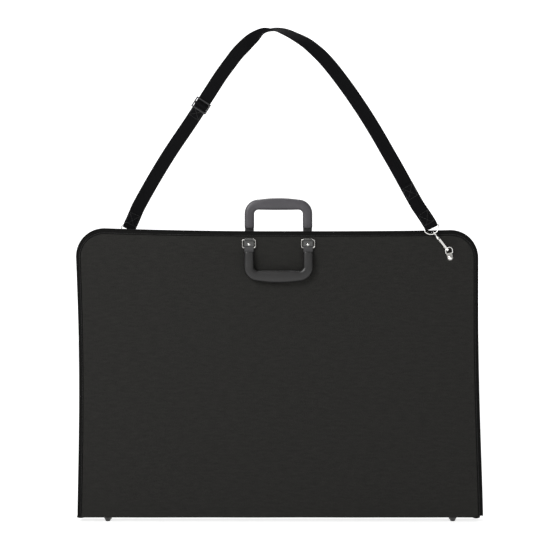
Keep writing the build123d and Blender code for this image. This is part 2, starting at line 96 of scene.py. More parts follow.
def make_camera():
    """The level, frontal view: a long lens at about half the object's height."""
    data = bpy.data.cameras.new("camera")
    data.sensor_width = 36
    data.lens = data.sensor_width * VIEW_DISTANCE / VIEW_WIDTH
    camera = bpy.data.objects.new("camera", data)
    camera.location = (VIEW_SIDESTEP, cover_low[1] - VIEW_DISTANCE, VIEW_HEIGHT)
    camera.rotation_euler = (radians(90), 0, 0)
    bpy.context.collection.objects.link(camera)
    bpy.context.scene.camera = camera


def area_light(name, place, target, size, power):
    """A square soft light that looks at a point."""
    data = bpy.data.lights.new(name, "AREA")
    data.size = size
    data.energy = power
    light = bpy.data.objects.new(name, data)
    light.location = place
    light.visible_camera = False
    light.rotation_euler = (Vector(target) - Vector(place)).to_track_quat("-Z", "Y").to_euler()
    bpy.context.collection.objects.link(light)


def plain_sheet(name, corners, glow):
    """A big plain surface of the studio, lit a little from itself so that it stays pale."""
    mesh = bpy.data.meshes.new(name)
    mesh.from_pydata(corners, [], [(0, 1, 2, 3)])
    sheet = bpy.data.objects.new(name, mesh)
    bpy.context.collection.objects.link(sheet)
    paint = bpy.data.materials.new(f"{name}_paint")
    paint.use_nodes = True
    shader = paint.node_tree.nodes["Principled BSDF"]
    shader.inputs["Base Color"].default_value = (SHEET_GREY, SHEET_GREY, SHEET_GREY, 1)
    shader.inputs["Roughness"].default_value = 0.9
    shader.inputs["Specular IOR Level"].default_value = 0.0
    shader.inputs["Emission Color"].default_value = (1, 1, 1, 1)
    shader.inputs["Emission Strength"].default_value = glow
    mesh.materials.append(paint)
    return sheet


def make_studio():
    """Pale floor and back wall, dim surroundings and four soft lights."""
    world = bpy.data.worlds.new("studio")
    world.use_nodes = True
    background = world.node_tree.nodes["Background"]
    background.inputs["Color"].default_value = (1, 1, 1, 1)
    background.inputs["Strength"].default_value = SURROUNDINGS
    bpy.context.scene.world = world
    bpy.context.scene.view_settings.view_transform = "Standard"
    for light in LIGHTS:
        area_light(*light)
    reach = SHEET_REACH
    wall = WALL_BEHIND
    floor = [(-reach, -reach, 0), (reach, -reach, 0), (reach, reach, 0), (-reach, reach, 0)]
    back = [(-reach, wall, 0), (reach, wall, 0), (reach, wall, reach), (-reach, wall, reach)]
    plain_sheet("floor", floor, FLOOR_GLOW)
    plain_sheet("back_wall", back, WALL_GLOW)


# ---- materials ------------------------------------------------------------------------------
class Nodes:
    """A small helper that builds one procedural material."""

    def __init__(self, name):
        self.material = bpy.data.materials.new(name)
        self.material.use_nodes = True
        self.tree = self.material.node_tree
        self.shader = self.tree.nodes["Principled BSDF"]
        self.coords = self.tree.nodes.new("ShaderNodeTexCoord").outputs["Object"]

    def add(self, kind, values=None, **settings):
        node = self.tree.nodes.new(kind)
        for key, value in settings.items():
            setattr(node, key, value)
        for key, value in (values or {}).items():
            if hasattr(value, "links"):
                self.tree.links.new(value, node.inputs[key])
            else:
                node.inputs[key].default_value = value
        return node

    def stretched(self, scale):
        return self.add("ShaderNodeMapping", {"Vector": self.coords, "Scale": scale}).outputs["Vector"]

    def noise(self, scale, detail=3.0, vector=None, roughness=0.55):
        values = {"Vector": vector or self.coords, "Scale": scale, "Detail": detail, "Roughness": roughness}
        return self.add("ShaderNodeTexNoise", values).outputs["Fac"]

    def wave(self, period, direction, vector=None, distortion=0.0):
        values = {"Vector": vector or self.coords, "Scale": pi / (10 * period), "Distortion": distortion}
        return self.add("ShaderNodeTexWave", values, bands_direction=direction).outputs["Fac"]

    def math(self, operation, first, second=0.5):
        return self.add("ShaderNodeMath", {0: first, 1: second}, operation=operation).outputs[0]

    def ramp(self, factor, low, high, start=0.0, end=1.0):
        node = self.add("ShaderNodeValToRGB", {"Fac": factor})
        node.color_ramp.elements[0].position = start
        node.color_ramp.elements[0].color = (*low, 1)
        node.color_ramp.elements[1].position = end
        node.color_ramp.elements[1].color = (*high, 1)
        return node.outputs["Color"]

    def bump(self, height, strength, distance, normal=None):
        values = {"Height": height, "Strength": strength, "Distance": distance}
        if normal is not None:
            values["Normal"] = normal
        return self.add("ShaderNodeBump", values).outputs["Normal"]

    def drive(self, key, socket):
        self.tree.links.new(socket, self.shader.inputs[key])

    def fix(self, **values):
        for key, value in values.items():
            self.shader.inputs[key.replace("_", " ")].default_value = value
        return self.material


def shade(colour, factor):
    """A colour made lighter or darker."""
    return tuple(channel * factor for channel in colour)


def woven(name, colour, period=1.1 * MM, contrast=0.55, gloss=0.25, slub=0.3):
    """Plain weave: crossing threads in the bump, uneven yarn in the colour."""
    n = Nodes(name)
    warp = n.wave(period, "X")
    weft = n.wave(period, "Z")
    threads = n.math("MULTIPLY", warp, weft)
    grain = n.noise(0.55 / period, 3.0)
    yarn = n.noise(0.2 / period, 2.0, n.stretched((0.25, 1.0, 1.0)))
    mixed = n.math("ADD", n.math("MULTIPLY", grain, 1.0 - slub), n.math("MULTIPLY", yarn, slub))
    low = shade(colour, 1 - contrast)
    high = shade(colour, 1 + contrast)
    n.drive("Base Color", n.ramp(mixed, low, high, 0.3, 0.7))
    rough = n.bump(mixed, 0.5, 0.25 * MM)
    n.drive("Normal", n.bump(threads, 0.6, 0.18 * MM, rough))
    return n.fix(Roughness=0.85, Specular_IOR_Level=gloss)


def ribbed(name, colour, direction, period, gloss=0.12):
    """Webbing or tape: ribs across one direction, a fine thread grain over them."""
    n = Nodes(name)
    ribs = n.wave(period, direction)
    grain = n.noise(900, 3.0)
    n.drive("Base Color", n.ramp(grain, shade(colour, 0.65), shade(colour, 1.4), 0.3, 0.7))
    fine = n.bump(grain, 0.4, 0.2 * MM)
    n.drive("Normal", n.bump(ribs, 0.7, 0.25 * MM, fine))
    return n.fix(Roughness=0.75, Specular_IOR_Level=gloss)


def moulded(name, colour, roughness, grain_size=0.6 * MM, grain=0.25):
    """Moulded plastic: spark-eroded grain, slight unevenness in gloss and colour."""
    n = Nodes(name)
    fine = n.noise(1 / grain_size, 2.0)
    broad = n.noise(35, 2.0)
    n.drive("Base Color", n.ramp(broad, shade(colour, 0.9), shade(colour, 1.12), 0.35, 0.65))
    low, high = roughness - 0.06, roughness + 0.06
    n.drive("Roughness", n.ramp(broad, (low,) * 3, (high,) * 3, 0.3, 0.7))
    n.drive("Normal", n.bump(fine, grain, 0.12 * MM))
    return n.material


def plated(name, colour, roughness):
    """Bright plating with faint polishing marks and small dull patches."""
    n = Nodes(name)
    marks = n.noise(500, 2.0, n.stretched((1.0, 1.0, 0.15)))
    dull = n.noise(110, 3.0)
    n.drive("Base Color", n.ramp(dull, shade(colour, 0.86), colour, 0.35, 0.6))
    n.drive("Roughness", n.ramp(dull, (roughness + 0.06,) * 3, (roughness,) * 3, 0.3, 0.7))
    n.drive("Normal", n.bump(marks, 0.06, 0.03 * MM))
    return n.fix(Metallic=1.0)


def fibreboard(name, colour):
    """Pressed board, seen only at cut edges."""
    n = Nodes(name)
    fibres = n.noise(700, 4.0, n.stretched((0.3, 1, 1)))
    n.drive("Base Color", n.ramp(fibres, shade(colour, 0.6), shade(colour, 1.2), 0.3, 0.7))
    n.drive("Normal", n.bump(fibres, 0.4, 0.3 * MM))
    return n.fix(Roughness=0.9)


MATERIALS = {
    "woven_shell": woven("woven_shell", (0.0112, 0.0109, 0.0096)),
    "binding": woven("binding", (0.0047, 0.0046, 0.0044), period=0.8 * MM, gloss=0.10),
    "lining": woven("lining", (0.045, 0.045, 0.047), period=0.6 * MM, contrast=0.25),
    "thread": moulded("thread", (0.024, 0.024, 0.024), 0.6),
    "zip_tape": ribbed("zip_tape", (0.014, 0.014, 0.015), "X", 0.7 * MM),
    "zip_teeth": moulded("zip_teeth", (0.018, 0.018, 0.020), 0.35),
    "zip_metal": moulded("zip_metal", (0.02, 0.02, 0.02), 0.25, 0.4 * MM, 0.1),
    # Two darkened copies of the nickel: painted shade and painted dark reflection on the handle chapes
    # inside the rings, painted dark reflection on the rings and the anchor chape.
    "nickel_painted_shade": plated("nickel_painted_shade", (0.11, 0.11, 0.108), 0.34),
    "nickel_painted_dark_reflection": plated("nickel_painted_dark_reflection", (0.45, 0.44, 0.42), 0.2),
    "nickel": plated("nickel", (0.93, 0.92, 0.89), 0.2),
    "grip": moulded("grip", (0.0060, 0.0056, 0.0055), 0.40, 0.8 * MM, 0.35),
    # A lighter copy of the grip for the raised back handle: painted light, from the light it catches from
    # above.
    "grip_painted_light": moulded("grip_painted_light", (0.052, 0.049, 0.055), 0.42, 0.8 * MM, 0.35),
    # Lighter than the grip: painted light on the handle's tongue, which catches the light where it bends
    # round the ring.
    "core": moulded("core", (0.032, 0.031, 0.032), 0.4),
    "foot": moulded("foot", (0.006, 0.0055, 0.005), 0.34, 0.5 * MM, 0.12),
    "steel": plated("steel", (0.5, 0.5, 0.5), 0.3),
    "webbing": ribbed("webbing", (0.0030, 0.0030, 0.0034), "Z", 1.4 * MM, gloss=0.06),
    "black_plastic": moulded("black_plastic", (0.010, 0.010, 0.011), 0.35),
    "elastic": ribbed("elastic", (0.02, 0.02, 0.021), "Z", 1.2 * MM),
    "board": fibreboard("board", (0.26, 0.20, 0.14)),
}


# ---- mesh helpers ---------------------------------------------------------------------------
SHARP_EDGE = radians(50)


def half_turn(verts):
    """The same points turned half a turn about the upright axis."""
    return [(-x, -y, z) for x, y, z in verts]


def side_bow(z):
    """How far the case's sides pull in, by height."""
    share = max(0.0, min(1.0, (z - PANEL_FOOT) / (CROWN - PANEL_FOOT)))
    return (5.6 * sin(pi * share * 0.93) ** 1.3 + 1.6 * share - 2.1) * MM


def top_sag(x):
    """How far the top edge sags, by place along it."""
    share = max(-1.0, min(1.0, x / (HALF_WIDTH - CORNER)))
    if share < 0:
        return (3.6 - 6.6 * share ** 2) * MM
    return (3.6 - 2.6 * share ** 3) * MM


def bowed(vert):
    """The case's own slight bow: sides drawn in, top edge sagging between its corners."""
    x, y, z = vert
    weight = smoothstep((abs(y) - ZIP_HALF) / (abs(rim_high[1]) - ZIP_HALF))
    side = (abs(x) / HALF_WIDTH) ** 4
    shift = -side_bow(z) * side * (1 if x > 0 else -1)
    shift += LEAN * (0.48 - max(0.0, min(1.0, z / CROWN)) ** 1.6) * side
    height = max(0.0, z / CROWN) ** 8
    return (x + shift * weight, y, z - top_sag(x) * height * weight)


def new_piece(name, verts, faces, material, body, replaces=(), slot=None, bow=False):
    """One finished mesh piece: built, shaded, and tied to its body (if it has only one)."""
    if bow:
        verts = [bowed(v) for v in verts]
    mesh = bpy.data.meshes.new(name)
    mesh.from_pydata(verts, [], faces)
    mesh.validate()
    mesh.materials.append(MATERIALS[material])
    piece = bpy.data.objects.new(name, mesh)
    bpy.context.collection.objects.link(piece)
    mesh.polygons.foreach_set("use_smooth", [True] * len(mesh.polygons))
    mesh.set_sharp_from_angle(angle=SHARP_EDGE)
    if body:
        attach(piece, body)
    if replaces:
        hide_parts(*replaces)
    return piece


def both_sides(name, verts, faces, material, replaced=None, slot=None, bow=True):
    """The same piece on the front panel and, turned half a turn, on the back panel."""
    for side in SIDES:
        placed = verts if side == "front" else half_turn(verts)
        nodes = (f"{side}_{replaced}",) if replaced else ()
        new_piece(f"{side}_{name}", placed, faces, material, f"{side}_panel", nodes, slot, bow)


def tube(sections, closed=False, caps=True):
    """Skin between rings of points that all have the same count."""
    verts = [tuple(point) for ring in sections for point in ring]
    count = len(sections[0])
    faces = []
    rings = len(sections)
    for i in range(rings if closed else rings - 1):
        low, high = i * count, ((i + 1) % rings) * count
        for j in range(count):
            k = (j + 1) % count
            faces.append((low + j, low + k, high + k, high + j))
    if caps and not closed:
        faces.append(tuple(range(count - 1, -1, -1)))
        faces.append(tuple((rings - 1) * count + j for j in range(count)))
    return verts, faces


def upright_ring(x, y, radius, z, count):
    """A level circle of points round an upright axis."""
    turns = [2 * pi * i / count for i in range(count)]
    return [Vector((x + radius * cos(turn), y + radius * sin(turn), z)) for turn in turns]


def joined(shapes):
    """Several (verts, faces) pairs as one."""
    verts, faces = [], []
    for more_verts, more_faces in shapes:
        base = len(verts)
        verts.extend(more_verts)
        faces.extend(tuple(base + i for i in face) for face in more_faces)
    return verts, faces


def smoothstep(t):
    """A smooth rise from 0 to 1 as t goes from 0 to 1."""
    t = max(0.0, min(1.0, t))
    return t * t * (3 - 2 * t)


# ---- the case's outline ---------------------------------------------------------------------
def rim_stations(step=6 * MM, corner_steps=18):
    """Points up the left side, over the top and down the right, each with its outward normal."""
    spring = CROWN - CORNER
    shoulder = HALF_WIDTH - CORNER
    stations = []
    rows = ceil((spring - PANEL_FOOT) / step)
    for i in range(rows):
        z = PANEL_FOOT + (spring - PANEL_FOOT) * i / rows
        stations.append((Vector((-HALF_WIDTH, 0, z)), Vector((-1, 0, 0))))
    for i in range(corner_steps):
        turn = radians(90) * i / corner_steps
        normal = Vector((-cos(turn), 0, sin(turn)))
        stations.append((Vector((-shoulder, 0, spring)) + normal * CORNER, normal))
    columns = ceil(2 * shoulder / step)
    for i in range(columns + 1):
        x = -shoulder + 2 * shoulder * i / columns
        stations.append((Vector((x, 0, CROWN)), Vector((0, 0, 1))))
    for i in range(1, corner_steps + 1):
        turn = radians(90) * (1 - i / corner_steps)
        normal = Vector((cos(turn), 0, sin(turn)))
        stations.append((Vector((shoulder, 0, spring)) + normal * CORNER, normal))
    for i in range(rows - 1, -1, -1):
        z = PANEL_FOOT + (spring - PANEL_FOOT) * i / rows
        stations.append((Vector((HALF_WIDTH, 0, z)), Vector((1, 0, 0))))
    return stations


def band_width(normal):
    """The binding's width: wider along the top than down the sides."""
    side = cover_low[0] + HALF_WIDTH
    top = CROWN - cover_high[2]
    return side + (top - side) * normal.z ** 2


def swept(profile, stations):
    """A closed section of (inset, depth) pairs carried round the outline."""
    rings = []
    for point, normal in stations:
        pairs = profile(normal) if callable(profile) else profile
        rings.append([point - normal * inset + Vector((0, depth, 0)) for inset, depth in pairs])
    return tube(rings)


def binding_profile(normal):
    """Edge binding: groove, flat band, a seam, then a piping roll round the outer edge."""
    width = band_width(normal)
    face = cover_low[1]
    proud = rim_low[1]
    inner = rim_high[1]
    roll = 1.75 * MM
    pairs = [
        (width + 0.2 * MM, face + 0.9 * MM),
        (width - 0.1 * MM, face + 0.1 * MM),
        (width - 0.5 * MM, proud + 0.25 * MM),
        (width - 1.3 * MM, proud + 0.02 * MM),
        (width * 0.6, proud),
        (4.6 * MM, proud + 0.02 * MM),
        (3.9 * MM, proud + 0.3 * MM),
        (3.5 * MM, proud + 0.75 * MM),
    ]
    centre = (roll, proud + roll)
    for angle in range(-50, 131, 20):
        turn = radians(angle)
        pairs.append((centre[0] - roll * sin(turn), centre[1] - roll * cos(turn)))
    pairs += [
        (0.55 * MM, centre[1] + 1.6 * MM),
        (0.9 * MM, inner - 0.7 * MM),
        (1.7 * MM, inner),
        (width * 0.5, inner),
        (width, inner),
        (width + 0.2 * MM, inner - 0.8 * MM),
    ]
    return pairs


def panel_sheet(side_inset, top_inset, outer, inner, lip=0.0, rings=26, ripple=0.0):
    """A panel-shaped sheet with rounded edges, its outer face at depth outer, inner one at inner."""
    loop = []
    for point, normal in rim_stations(step=12 * MM, corner_steps=10):
        inset = side_inset + (top_inset - side_inset) * normal.z ** 2
        loop.append(point - normal * inset)
    foot = [Vector((HALF_WIDTH - side_inset - 12 * MM * i, 0, PANEL_FOOT)) for i in range(1, 72)]
    loop += [p for p in foot if p.x > -HALF_WIDTH + side_inset + 6 * MM]
    middle_z = (PANEL_FOOT + CROWN) / 2
    reach = HALF_WIDTH - (CROWN - PANEL_FOOT) / 2

    def ring(share, depth_of):
        points = []
        for p in loop:
            centre = Vector((max(-reach, min(reach, p.x)), 0, middle_z))
            spot = p.lerp(centre, share)
            points.append((spot.x, depth_of(spot, (spot - p).length), spot.z))
        return points

    def front(spot, distance):
        rise = lip * (1 - smoothstep(distance / (14 * MM))) * smoothstep(distance / (1.5 * MM))
        wave = noise.noise(Vector((spot.x * 5.5, 3.1, spot.z * 5.5))) * ripple
        wave += noise.noise(Vector((spot.x * 16, 7.7, spot.z * 16))) * ripple * 0.35
        edge = 0.45 * MM * (1 - smoothstep(distance / (1.6 * MM)))
        return outer - rise + edge - wave * smoothstep(distance / (30 * MM))

    def back(spot, distance):
        return inner

    shares = [0.0, 0.002, 0.004, 0.008, 0.014, 0.022, 0.034, 0.05]
    shares += [0.05 + 0.95 * (i / rings) for i in range(1, rings)]
    sheets = [ring(0.0, back)] + [ring(s, front) for s in shares]
    count = len(loop)
    verts = [point for sheet in sheets for point in sheet]
    faces = []
    for i in range(len(sheets) - 1):
        for j in range(count):
            k = (j + 1) % count
            low, high = i * count, (i + 1) * count
            faces.append((low + j, high + j, high + k, low + k))
    base = (len(sheets) - 1) * count
    faces.append(tuple(base + j for j in range(count)))
    faces.append(tuple(range(count - 1, -1, -1)))
    return verts, faces


def make_panels():
    """Boards, woven covers, linings and edge bindings of both panels."""
    side = cover_low[0] + HALF_WIDTH
    top = CROWN - cover_high[2]
    cover = panel_sheet(side, top, cover_low[1], cover_high[1], lip=0.55 * MM, ripple=0.5 * MM)
    both_sides("cover_cloth", *cover, "woven_shell", "cover")
    inset = board_low[0] + HALF_WIDTH
    board = panel_sheet(inset, inset, board_low[1], board_high[1], rings=3)
    both_sides("board_core", *board, "board", "board")
    lining = panel_sheet(side, top, lining_high[1], lining_low[1], rings=16)
    flipped = [tuple(reversed(face)) for face in lining[1]]
    both_sides("lining_cloth", lining[0], flipped, "lining", "lining")
    both_sides("edge_binding", *swept(binding_profile, rim_stations()), "binding", "binding")


# ---- stitches -------------------------------------------------------------------------------
STITCH_SHAPE = (
    # share of its length, height and thickness as shares of the thread's radius
    (0.0, -0.4, 0.5), (0.15, 0.45, 0.95), (0.5, 0.75, 1.0), (0.85, 0.45, 0.95), (1.0, -0.4, 0.5),
)
BINDING_SEAM_INSET = 2.2 * MM


def stitch(start, end, lift, radius):
    """One sewn stitch: a thread that rises from the cloth and dives back into it."""
    along = end - start
    across = along.cross(lift).normalized()
    up = lift.normalized()
    rings = []
    for share, height, size in STITCH_SHAPE:
        centre = start + along * share + up * (radius * height)
        ring = []
        for i in range(6):
            turn = 2 * pi * i / 6
            ring.append(centre + (across * cos(turn) + up * sin(turn)) * radius * size)
        rings.append(ring)
    return tube(rings)


def seam(points, lift, pitch=3.6 * MM, length=2.7 * MM, radius=0.32 * MM):
    """Stitches laid one after another along a line of points."""
    shapes = []
    gone = 0.0
    wanted = pitch / 2
    for a, b in zip(points, points[1:]):
        span = (b - a).length
        while wanted <= gone + span:
            middle = a.lerp(b, (wanted - gone) / span)
            way = (b - a).normalized() * length / 2
            shapes.append(stitch(middle - way, middle + way, lift, radius))
            wanted += pitch
        gone += span
    return joined(shapes)


def make_binding_stitches():
    """The line of stitching that holds the binding, just outside its groove."""
    points = []
    for point, normal in rim_stations():
        inset = band_width(normal) - BINDING_SEAM_INSET
        points.append(point - normal * inset + Vector((0, rim_low[1], 0)))
    shape = seam(points, Vector((0, -1, 0)))
    both_sides("binding_stitches", *shape, "thread", slot="binding")


# ---- inside: holding bands and pocket -------------------------------------------------------
BAND_WIDTH = 25 * MM
BAND_RIBS = 8
BAND_SEAMS = (3 * MM, 8 * MM)
POCKET_CORNER = 14 * MM
POCKET_HEM = 12 * MM
POCKET_SEAM_INSET = 3 * MM
CORNER_STEPS = 6


def elastic_band(x):
    """One strip of ribbed elastic, puckered along its length, with its sewn-down ends."""
    low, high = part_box("front_elastic_bands")
    rows = 160
    points = 4 * BAND_RIBS
    rings = []
    for i in range(rows + 1):
        share = i / rows
        z = low[2] + (high[2] - low[2]) * share
        sewn = 1 - smoothstep(min(share, 1 - share) * rows / 4)
        ring = [(x + BAND_WIDTH / 2, low[1], z), (x - BAND_WIDTH / 2, low[1], z)]
        for j in range(points + 1):
            across = j / points
            rib = 0.12 * MM * cos(2 * pi * BAND_RIBS * across)
            pucker = 0.10 * MM * sin(2.1 * i) * (1 - sewn)
            edge = 0.35 * MM * (2 * across - 1) ** 8
            face = high[1] - 0.2 * MM + rib + pucker - edge - 0.25 * MM * sewn
            ring.append((x + (across - 0.5) * BAND_WIDTH, face, z))
        rings.append(ring)
    cloth = tube(rings)
    inward = Vector((0, 1, 0))
    rows_of_thread = []
    reach = BAND_WIDTH / 2 - 2 * MM
    near, far = BAND_SEAMS
    for z in (low[2] + near, low[2] + far, high[2] - far, high[2] - near):
        ends = [Vector((x + side * reach, high[1] - 0.3 * MM, z)) for side in (-1, 1)]
        rows_of_thread.append(seam(ends, inward))
    return cloth, joined(rows_of_thread)


def pocket_sheet(low, high):
    """Flat document pocket: rounded lower corners, a hem on top, a little slack in the middle."""
    half = (high[0] - low[0]) / 2
    tall = high[2] - low[2]
    columns, rows = 56, 40
    front, rear = [], []
    for i in range(rows + 1):
        share = i / rows
        z = low[2] + tall * share ** 1.35
        rise = min(z - low[2], POCKET_CORNER)
        reach = half - POCKET_CORNER + (POCKET_CORNER ** 2 - (POCKET_CORNER - rise) ** 2) ** 0.5
        for j in range(columns + 1):
            across = 2 * j / columns - 1
            x = reach * across
            slack = 1.6 * MM * (1 - across ** 4) * smoothstep(share * 1.6)
            edge_gap = min(half - abs(x), z - low[2])
            fold = 0.3 * MM * (1 - smoothstep((edge_gap - 7 * MM) / (2 * MM)))
            hem = 0.5 * MM * smoothstep((z - high[2] + POCKET_HEM) / (1.5 * MM))
            crease = 0.5 * MM * noise.noise(Vector((x * 9, z * 14, 3.1))) * (1 - across ** 4)
            front.append((x, low[1] - slack - max(fold, hem) - crease * share, z))
            rear.append((x, high[1], z))
    width = columns + 1
    base = len(front)
    faces = []
    for i in range(rows):
        for j in range(columns):
            a = i * width + j
            faces.append((a, a + 1, a + width + 1, a + width))
            faces.append((base + a, base + a + width, base + a + width + 1, base + a + 1))
    rim = list(range(width))
    rim += [i * width + columns for i in range(1, rows + 1)]
    rim += [rows * width + j for j in range(columns - 1, -1, -1)]
    rim += [i * width for i in range(rows - 1, 0, -1)]
    for a, b in zip(rim, rim[1:] + rim[:1]):
        faces.append((a, base + a, base + b, b))
    return front + rear, faces


def pocket_seam_line(low, high):
    """The pocket's seam: down the left side, along the foot and up the right, round its corners."""
    face = low[1] - 0.3 * MM
    inset = POCKET_SEAM_INSET
    left, right, foot, top = low[0] + inset, high[0] - inset, low[2] + inset, high[2] - 2 * MM
    corner = POCKET_CORNER - inset
    left_turn, right_turn = [], []
    for i in range(CORNER_STEPS + 1):
        turn = pi / 2 * i / CORNER_STEPS
        left_turn.append(Vector((left + corner * (1 - cos(turn)), face, foot + corner * (1 - sin(turn)))))
        turn = pi / 2 * (1 - i / CORNER_STEPS)
        right_turn.append(Vector((right - corner * (1 - cos(turn)), face, foot + corner * (1 - sin(turn)))))
    return [Vector((left, face, top))] + left_turn + right_turn + [Vector((right, face, top))]


def make_inside():
    """Elastic holding bands on the front lining and the document pocket on the back lining."""
    low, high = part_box("front_elastic_bands")
    bands, threads = [], []
    for x in (low[0] + BAND_WIDTH / 2, high[0] - BAND_WIDTH / 2):
        cloth, thread = elastic_band(x)
        bands.append(cloth)
        threads.append(thread)
    bands, threads = joined(bands), joined(threads)
    new_piece("elastic_band_cloth", *bands, "elastic", "front_panel", ("front_elastic_bands",), bow=True)
    new_piece("elastic_band_stitches", *threads, "thread", "front_panel", slot="elastic", bow=True)
    low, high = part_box("back_document_pocket")
    sheet = pocket_sheet(low, high)
    new_piece("pocket_cloth", *sheet, "lining", "back_panel", ("back_document_pocket",), bow=True)
    sewing = seam(pocket_seam_line(low, high), Vector((0, -1, 0)))
    new_piece("pocket_stitches", *sewing, "thread", "back_panel", slot="lining", bow=True)


# ---- gusset and zip -------------------------------------------------------------------------
TOOTH_HALF = 0.42 * MM
TOOTH_ROOT = 0.75 * MM
TOOTH_HEAD = 1.05 * MM
TOOTH_PITCH = 2.0 * MM
TOOTH_SHAPE = (
    # share of its reach, half its height, its width as a share
    (0.0, TOOTH_ROOT, 0.9), (0.45, TOOTH_ROOT, 0.8), (0.7, TOOTH_HEAD, 1.0),
    (0.93, TOOTH_HEAD * 0.9, 0.95), (1.0, TOOTH_HEAD * 0.5, 0.6),
)


def gusset_profile():
    """A soft wall that dips between the binding and the zip tape."""
    inset = gusset_low[0] + HALF_WIDTH
    start, end = gusset_high[1], gusset_low[1]
    thickness = 1.1 * MM
    steps = 8
    outer, inner = [], []
    for i in range(steps + 1):
        share = i / steps
        depth = end + (start - end) * share
        dip = 1.3 * MM * sin(pi * share)
        outer.append((inset + dip, depth))
        inner.append((inset + dip + thickness, depth))
    return outer + inner[::-1]


def tape_profile():
    """Zip tape with its turned edge."""
    inset = tape_low[0] + HALF_WIDTH
    low, high = tape_low[1], tape_high[1]
    thick = 0.8 * MM
    return [
        (inset - 0.25 * MM, low - 0.8 * MM),
        (inset - 0.35 * MM, low),
        (inset, low + 0.6 * MM),
        (inset, high),
        (inset + thick, high),
        (inset + thick, low - 0.8 * MM),
    ]


def tooth(centre, along, up, reach):
    """One zip tooth: a rounded peg that reaches across to the other row."""
    rings = []
    for share, tall, wide in TOOTH_SHAPE:
        spot = centre + Vector((0, reach * share, 0))
        ring = []
        for i in range(8):
            turn = 2 * pi * (i + 0.5) / 8
            ring.append(spot + along * cos(turn) * TOOTH_HALF * wide + up * sin(turn) * tall)
        rings.append(ring)
    return tube(rings)


def make_zip():
    """Gussets, zip tapes and both rows of meshing teeth."""
    both_sides("gusset_cloth", *swept(gusset_profile(), rim_stations()), "woven_shell", "gusset")
    both_sides("zip_tape_cloth", *swept(tape_profile(), rim_stations()), "zip_tape", "zip_tape")
    depth = (tape_low[0] + HALF_WIDTH) + 0.4 * MM
    line = []
    for point, normal in rim_stations(step=3 * MM, corner_steps=40):
        line.append((point - normal * depth, normal))
    for side in SIDES:
        way = 1 if side == "front" else -1
        start = teeth_low[1] * way
        reach = (-teeth_low[1] + 0.35 * MM) * way
        wanted = TOOTH_PITCH * (0.5 if side == "front" else 1.0)
        gone = 0.0
        shapes = []
        for (a, normal_a), (b, normal_b) in zip(line, line[1:]):
            span = (b - a).length
            while wanted <= gone + span:
                share = (wanted - gone) / span
                spot = a.lerp(b, share)
                up = normal_a.lerp(normal_b, share).normalized()
                along = (b - a).normalized()
                shapes.append(tooth(spot + Vector((0, start, 0)), along, up, reach))
                wanted += TOOTH_PITCH
            gone += span
        teeth = joined(shapes)
        name = f"{side}_zip_coil"
        new_piece(name, *teeth, "zip_teeth", f"{side}_panel", (f"{side}_zip_teeth",), bow=True)


# ---- spine ----------------------------------------------------------------------------------
SPINE_SECTION = (
    # shares of half the depth and of half the height, round the sleeve
    (-1, -0.35), (-0.985, -0.8), (-0.95, -1), (0, -1.0), (0.95, -1), (0.985, -0.8), (1, -0.35),
    (1, 0.35), (0.985, 0.8), (0.95, 1), (0, 1), (-0.95, 1), (-0.985, 0.8), (-1, 0.35),
)
TUCK_SHAPE = ((0.0, 0.75), (0.06, 0.95), (0.5, 1.0), (0.94, 0.95), (1.0, 0.75))
TUCK_REACH = 8.5 * MM
TUCK_DROPS = {-1: 2.4 * MM, 1: 3.3 * MM}
TUCK_RISE = 1.6 * MM
HINGE_ROWS = 16


def make_spine_sleeve():
    """The spine's cloth sleeve with soft edges and a little unevenness underneath."""
    half_x, half_y = spine_high[0], spine_high[1]
    low, high = spine_low[2], spine_high[2]
    middle = (low + high) / 2
    section = []
    for share_y, share_z in SPINE_SECTION:
        section.append((share_y * half_y, middle + share_z * (high - low) / 2))
    rings = []
    columns = 60
    for i in range(columns + 1):
        x = -half_x + 2 * half_x * i / columns
        puff = 0.25 * MM * noise.noise(Vector((x * 9, 0, 0)))
        rings.append([Vector((x, y, z + (puff if z < middle else 0))) for y, z in section])
    new_piece("spine_sleeve", *tube(rings), "woven_shell", "spine", ("spine_cover",))


def make_end_tucks():
    """The folded ends of the binding under both ends of the spine."""
    half_y = spine_high[1]
    shapes = []
    for side in (-1, 1):
        outer = side * (HALF_WIDTH - 0.6 * MM)
        rings = []
        for share, size in TUCK_SHAPE:
            y = -half_y + 2 * half_y * share
            ring = []
            for i in range(14):
                turn = 2 * pi * i / 14
                x = outer - side * TUCK_REACH + TUCK_REACH * size * cos(turn)
                tall = TUCK_DROPS[side] if sin(turn) < 0 else TUCK_RISE
                ring.append(Vector((x, y, spine_low[2] + 1.0 * MM + tall * size * sin(turn))))
            rings.append(ring)
        shapes.append(tube(rings))
    new_piece("spine_end_tucks", *joined(shapes), "binding", "spine")


def make_hinge_cloths():
    """The cloth strip between the spine and each panel, built as a fixed piece on no body."""
    z_low, z_high = spine_low[2] + 0.6 * MM, PANEL_FOOT + 7 * MM
    y_face = cover_low[1] + 0.25 * MM
    width = HALF_WIDTH - 11 * MM
    for side in SIDES:
        way = 1 if side == "front" else -1
        rings = []
        for i in range(HINGE_ROWS + 1):
            z = z_low + (z_high - z_low) * i / HINGE_ROWS
            lift = 0.5 * MM * min(1.0, 6 * min(i, HINGE_ROWS - i) / HINGE_ROWS)
            y_proud = y_face - lift - 0.1 * MM
            corners = ((-width, y_face), (width, y_face), (width, y_proud), (-width, y_proud))
            rings.append([Vector((x * way, y * way, z)) for x, y in corners])
        cloth = new_piece(f"{side}_hinge_cloth", *tube(rings), "woven_shell", None)
        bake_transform(cloth)


